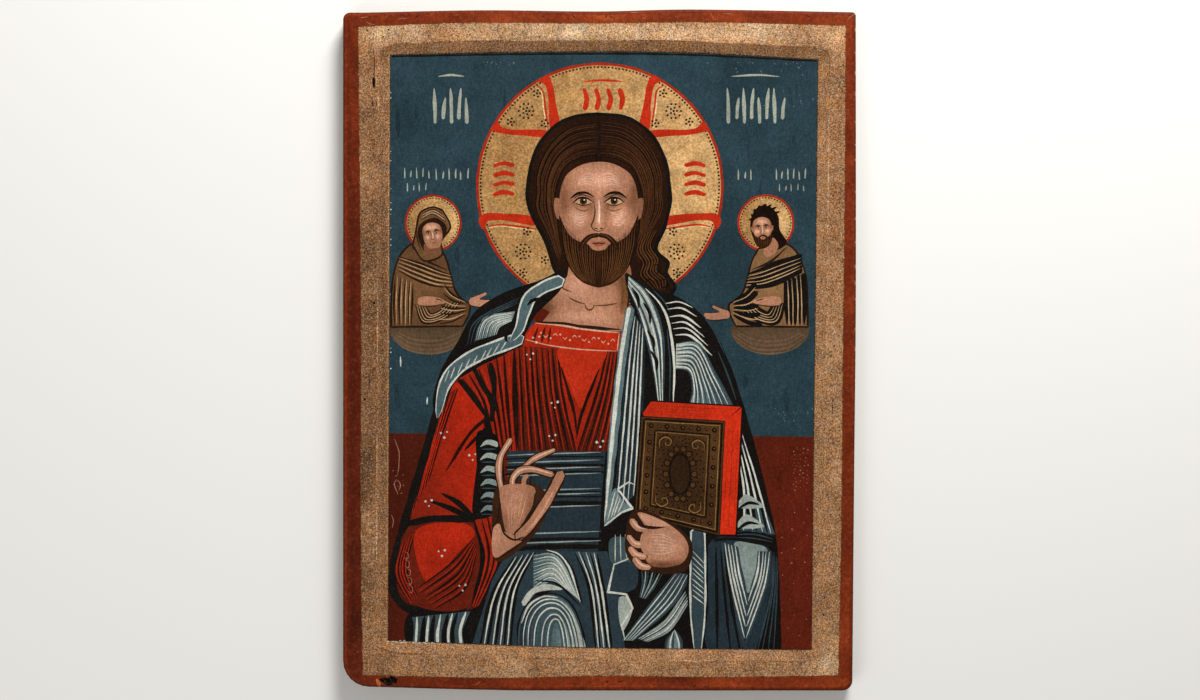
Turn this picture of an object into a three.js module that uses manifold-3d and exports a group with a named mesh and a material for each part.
// A painted icon panel: one thick wooden board that lies on its back, picture side up.
// The picture field is sunk into the board, and a bevelled border slopes up from it to a flat rim.
// Millimetres, +Z up. The origin is the middle of the back, +Y points to the top of the picture.
import * as THREE from "three";
import { mergeVertices } from "three/addons/utils/BufferGeometryUtils.js";
import Module from "manifold-3d";

// Board
const BOARD_WIDTH = 667;
const BOARD_HEIGHT = 886;
const BOARD_THICKNESS = 30;
const EDGE_ROUND = 4; // the worn arris all round, front and back
const EDGE_ROUND_STEPS = 3;
const LEFT = -BOARD_WIDTH / 2;
const RIGHT = BOARD_WIDTH / 2;
const TOP = BOARD_HEIGHT / 2;
const BOTTOM = -BOARD_HEIGHT / 2;

// The hand-sawn outline wanders by a few millimetres from a true rectangle
const TOP_LEFT_DROP = 4; // the top corners stand lower than the crown of the top edge
const TOP_RIGHT_DROP = 3.5;
const TOP_DIP = 2.5; // the slight dip between the two crowns of the top edge
const RIGHT_LEAN = 4.5; // the right edge runs in towards the foot
const LOWER_LEFT_RISE = 5; // the lower edge lifts towards its left corner
const FLAT_FOOT_FROM = -100; // the lower edge is straight from here to the right corner
const TOP_LEFT_RADIUS = 9;
const TOP_RIGHT_RADIUS = 5;
const LOWER_RIGHT_RADIUS = 13;
const LOWER_LEFT_RADIUS = 34;
const CURVE_STEPS = 7;

// Sunk picture field, by its four corners, with its top edge bowed up
const FIELD_DEPTH = 5;
const FIELD_TOP_LEFT = [-272, 383.5];
const FIELD_TOP_RIGHT = [284, 377.5];
const FIELD_LOWER_RIGHT = [275.5, -390];
const FIELD_LOWER_LEFT = [-275, -378];
const FIELD_TOP_CROWN = [-110, 387];
const FIELD_TOP_SHOULDER = [110, 386.5];
const FIELD_FOOT_SAG = [-40, -386.5];
const BEVEL_WIDTH = 15; // from the field's edge up to the flat of the border

// Worm-eaten chip in the rim near the lower left corner
const CHIP_AT = [-276, -433];
const CHIP_SIZE = [22, 13, 7];

const wasm = await Module();
wasm.setup();

function solidFrom(geometry) {
  const bare = geometry.clone();
  bare.deleteAttribute("normal");
  bare.deleteAttribute("uv");
  const merged = mergeVertices(bare, 1e-4);
  return new wasm.Manifold(
    new wasm.Mesh({
      numProp: 3,
      vertProperties: merged.attributes.position.array,
      triVerts: new Uint32Array(merged.index.array),
    }),
  );
}

function geometryFrom(solid) {
  const mesh = solid.getMesh();
  const geometry = new THREE.BufferGeometry();
  geometry.setAttribute("position", new THREE.BufferAttribute(mesh.vertProperties, 3));
  geometry.setIndex(new THREE.BufferAttribute(mesh.triVerts, 1));
  geometry.computeVertexNormals();
  return geometry;
}

const point = ([x, y]) => new THREE.Vector2(x, y);

// The board's outline, anticlockwise from the start of the flat foot.
function boardOutline() {
  const lowerRight = RIGHT - RIGHT_LEAN;
  const topLeft = TOP - TOP_LEFT_DROP;
  const topRight = TOP - TOP_RIGHT_DROP;
  const lowerLeft = BOTTOM + LOWER_LEFT_RISE;
  const shape = new THREE.Shape();
  shape.moveTo(FLAT_FOOT_FROM, BOTTOM);
  roundCorner(shape, lowerRight, BOTTOM, LOWER_RIGHT_RADIUS, -1, 1);
  shape.splineThru([
    new THREE.Vector2(RIGHT - 0.4 * RIGHT_LEAN, 0.3 * BOTTOM),
    new THREE.Vector2(RIGHT, 0.1 * TOP),
    new THREE.Vector2(RIGHT, 0.5 * TOP),
  ]);
  roundCorner(shape, RIGHT, topRight, TOP_RIGHT_RADIUS, -1, -1);
  shape.splineThru([
    new THREE.Vector2(0.33 * RIGHT, TOP),
    new THREE.Vector2(0, TOP - TOP_DIP),
    new THREE.Vector2(0.45 * LEFT, TOP - 1),
    new THREE.Vector2(LEFT + 3 * TOP_LEFT_RADIUS, topLeft),
  ]);
  roundCorner(shape, LEFT, topLeft, TOP_LEFT_RADIUS, 1, -1);
  roundCorner(shape, LEFT, lowerLeft, LOWER_LEFT_RADIUS, 1, 1);
  shape.quadraticCurveTo(0.5 * LEFT, BOTTOM + 0.35 * LOWER_LEFT_RISE, FLAT_FOOT_FROM, BOTTOM);
  return shape;
}

// A quarter turn at a corner; inX and inY point from the corner into the board.
function roundCorner(shape, x, y, radius, inX, inY) {
  const from = { "-11": -90, "-1-1": 0, "1-1": 90, "11": 180 }[`${inX}${inY}`];
  const start = THREE.MathUtils.degToRad(from);
  shape.absarc(x + inX * radius, y + inY * radius, radius, start, start + Math.PI / 2, false);
}

// The picture field's outline, anticlockwise from its lower left corner.
function fieldOutline() {
  const shape = new THREE.Shape();
  shape.moveTo(...FIELD_LOWER_LEFT);
  shape.splineThru([point(FIELD_FOOT_SAG), point(FIELD_LOWER_RIGHT)]);
  shape.lineTo(...FIELD_TOP_RIGHT);
  shape.splineThru([point(FIELD_TOP_SHOULDER), point(FIELD_TOP_CROWN), point(FIELD_TOP_LEFT)]);
  shape.lineTo(...FIELD_LOWER_LEFT);
  return shape;
}

function boardBlank() {
  const blank = new THREE.ExtrudeGeometry(boardOutline(), {
    depth: BOARD_THICKNESS - 2 * EDGE_ROUND,
    bevelEnabled: true,
    bevelThickness: EDGE_ROUND,
    bevelSize: EDGE_ROUND,
    bevelOffset: -EDGE_ROUND,
    bevelSegments: EDGE_ROUND_STEPS,
    curveSegments: CURVE_STEPS,
  });
  return solidFrom(blank.translate(0, 0, EDGE_ROUND));
}

// The waste that is carved away: the field at its depth, widening by the bevel up to the board's face.
function fieldWaste() {
  const waste = new THREE.ExtrudeGeometry(fieldOutline(), {
    depth: FIELD_DEPTH,
    bevelEnabled: true,
    bevelThickness: FIELD_DEPTH,
    bevelSize: BEVEL_WIDTH,
    bevelSegments: 1,
    curveSegments: CURVE_STEPS,
  });
  return solidFrom(waste.translate(0, 0, BOARD_THICKNESS));
}

function chipWaste() {
  const lump = new THREE.IcosahedronGeometry(0.5, 1).scale(...CHIP_SIZE);
  return solidFrom(lump.rotateZ(0.2).translate(...CHIP_AT, BOARD_THICKNESS));
}

const paintedWood = new THREE.MeshStandardMaterial({ color: 0x8a4a2c, roughness: 0.55, metalness: 0 });

function iconPanel() {
  const board = boardBlank().subtract(fieldWaste()).subtract(chipWaste());
  const mesh = new THREE.Mesh(geometryFrom(board), paintedWood);
  mesh.name = "icon_panel";
  return mesh;
}

const part = new THREE.Group();
part.add(iconPanel());

export default part;
